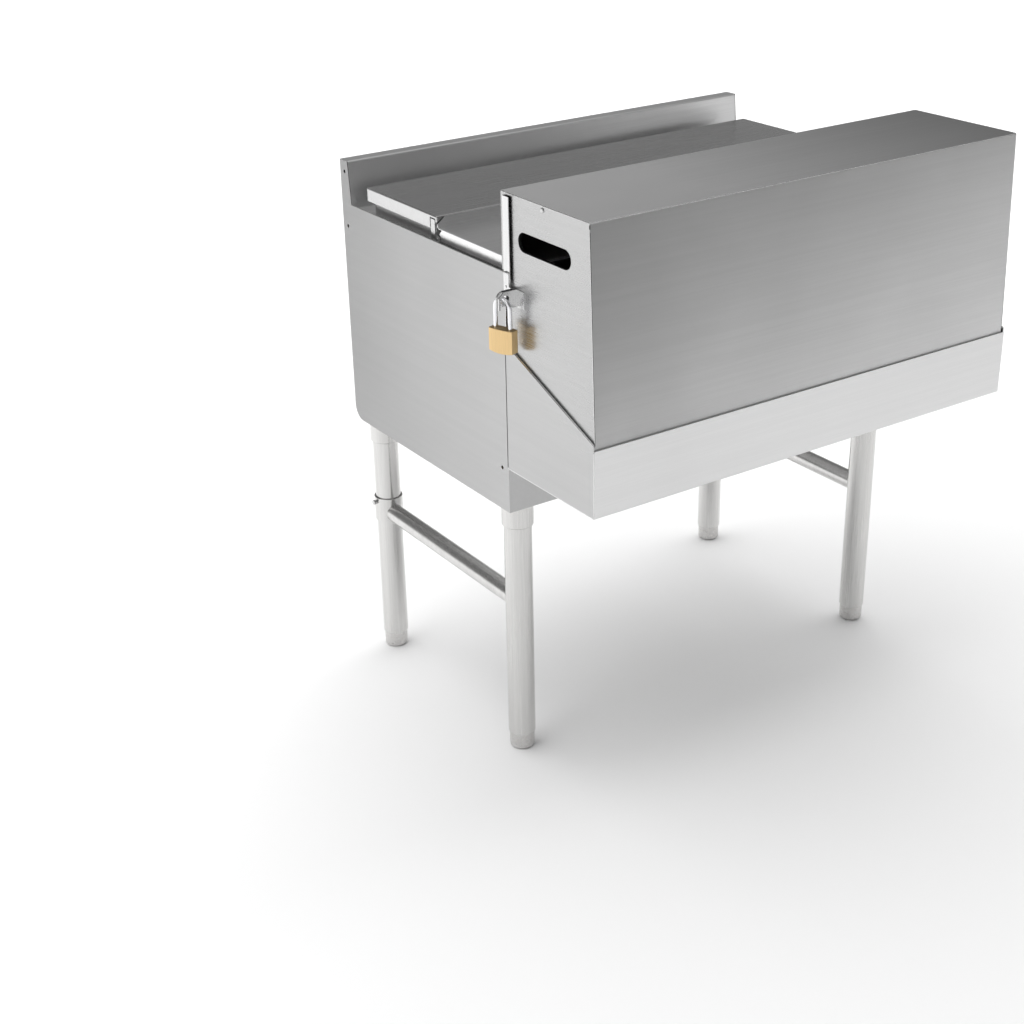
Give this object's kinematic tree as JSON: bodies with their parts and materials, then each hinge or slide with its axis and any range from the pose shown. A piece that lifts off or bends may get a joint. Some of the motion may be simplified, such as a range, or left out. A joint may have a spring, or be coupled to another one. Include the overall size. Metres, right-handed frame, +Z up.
{
  "type": "underbar ice bin with locking bottle rail cover",
  "caption": "Free-standing stainless underbar ice bin on tube legs, with a bottle rail in front, a lift-off rail cover with hand holes and a brass padlock at one end.",
  "frame": {"origin": "on the floor, on the cabinet's middle plane and at the middle of the overall depth", "axes": "+Z up, +X to the right seen from the front, +Y to the back"},
  "size_m": [0.8181, 0.655, 0.884],
  "materials": {
    "brass_case": "satin brass",
    "brass_plug": "satin brass",
    "bright_steel": "bright stainless",
    "brushed_cover": "no. 4 brushed stainless",
    "brushed_end": "no. 4 brushed stainless",
    "brushed_panel": "no. 4 brushed stainless",
    "brushed_rail": "no. 4 brushed stainless",
    "brushed_top": "no. 4 brushed stainless",
    "chrome_wire": "hardened, chrome plated",
    "drain_brass": "plain brass",
    "fasteners": "bright stainless",
    "foam": "rigid foam",
    "foot_steel": "turned stainless",
    "liner_steel": "deep-drawn stainless",
    "polished_tube": "polished stainless tube",
    "rubber": "moulded rubber"
  },
  "bodies": {
    "cabinet": {"back_panel": "brushed_panel", "backsplash": "brushed_top", "bar_bracket_left": "brushed_top", "bar_bracket_right": "brushed_top", "bottom_pan": "brushed_panel", "bracket_studs": "fasteners", "centre_bar": "brushed_top", "collar_screws": "fasteners", "cross_rail_left": "polished_tube", "cross_rail_right": "polished_tube", "deck_frame": "brushed_top", "drain_flange": "drain_brass", "drain_gasket": "rubber", "drain_locknut": "drain_brass", "drain_strainer": "brushed_panel", "drain_tailpiece": "drain_brass", "foot_inserts": "foot_steel", "front_panel": "brushed_panel", "guide_channel_left": "bright_steel", "guide_channel_right": "bright_steel", "guide_rivets": "fasteners", "ice_liner": "liner_steel", "insulation": "foam", "leg_front_left": "polished_tube", "leg_front_right": "polished_tube", "leg_rear_left": "polished_tube", "leg_rear_right": "polished_tube", "leg_socket_front_left": "polished_tube", "leg_socket_front_right": "polished_tube", "leg_socket_rear_left": "polished_tube", "leg_socket_rear_right": "polished_tube", "liner_floor": "liner_steel", "lock_keeper_left": "bright_steel", "lock_keeper_right": "bright_steel", "rail_collar_left": "polished_tube", "rail_collar_right": "polished_tube", "rail_end_left": "brushed_rail", "rail_end_right": "brushed_rail", "rail_screws": "fasteners", "rail_tray": "brushed_rail", "side_panel_left": "brushed_panel", "side_panel_right": "brushed_panel", "socket_screws": "fasteners"},
    "rail_cover": {"cover_shell": "brushed_cover", "cover_end_left": "brushed_end", "cover_end_right": "brushed_end", "cover_screws": "fasteners", "lock_eye_left": "bright_steel", "lock_eye_right": "bright_steel"},
    "rear_lid_set": {"rear_lid": "brushed_top", "rear_lid_pan": "brushed_top", "rear_lid_foam": "foam"},
    "front_lid_set": {"front_lid": "brushed_top", "front_lid_ribs": "brushed_top"},
    "shackle": {"padlock_shackle": "chrome_wire"},
    "lock_case": {"padlock_body": "brass_case"},
    "key_plug": {"lock_plug": "brass_plug"},
    "foot_fl": {"foot_front_left": "foot_steel"},
    "foot_fr": {"foot_front_right": "foot_steel"},
    "foot_rl": {"foot_rear_left": "foot_steel"},
    "foot_rr": {"foot_rear_right": "foot_steel"}
  },
  "joints": [
    {"name": "cover_lift", "type": "slide", "parent": "cabinet", "child": "rail_cover", "axis": [0, 0, 1], "range_m": [0, 0.4]},
    {"name": "rear_lid_lift", "type": "slide", "parent": "cabinet", "child": "rear_lid_set", "axis": [0, 0, 1], "range_m": [0, 0.15]},
    {"name": "front_lid_lift", "type": "slide", "parent": "cabinet", "child": "front_lid_set", "axis": [0, 0, 1], "range_m": [0, 0.15]},
    {"name": "padlock_swing", "type": "hinge", "parent": "cabinet", "child": "shackle", "pos_m": [-0.398, -0.1425, 0.746], "axis": [0, 1, 0], "range_deg": [-3, 55]},
    {"name": "padlock_pull", "type": "slide", "parent": "shackle", "child": "lock_case", "axis": [0, 0, -1], "range_m": [0, 0.009]},
    {"name": "key_turn", "type": "hinge", "parent": "lock_case", "child": "key_plug", "pos_m": [-0.398, -0.1425, 0.68], "axis": [0, 0, 1], "range_deg": [0, 90]},
    {"name": "foot_fl_adjust", "type": "slide", "parent": "cabinet", "child": "foot_fl", "axis": [0, 0, -1], "range_m": [0, 0.025]},
    {"name": "foot_fr_adjust", "type": "slide", "parent": "cabinet", "child": "foot_fr", "axis": [0, 0, -1], "range_m": [0, 0.025]},
    {"name": "foot_rl_adjust", "type": "slide", "parent": "cabinet", "child": "foot_rl", "axis": [0, 0, -1], "range_m": [0, 0.025]},
    {"name": "foot_rr_adjust", "type": "slide", "parent": "cabinet", "child": "foot_rr", "axis": [0, 0, -1], "range_m": [0, 0.025]}
  ]
}
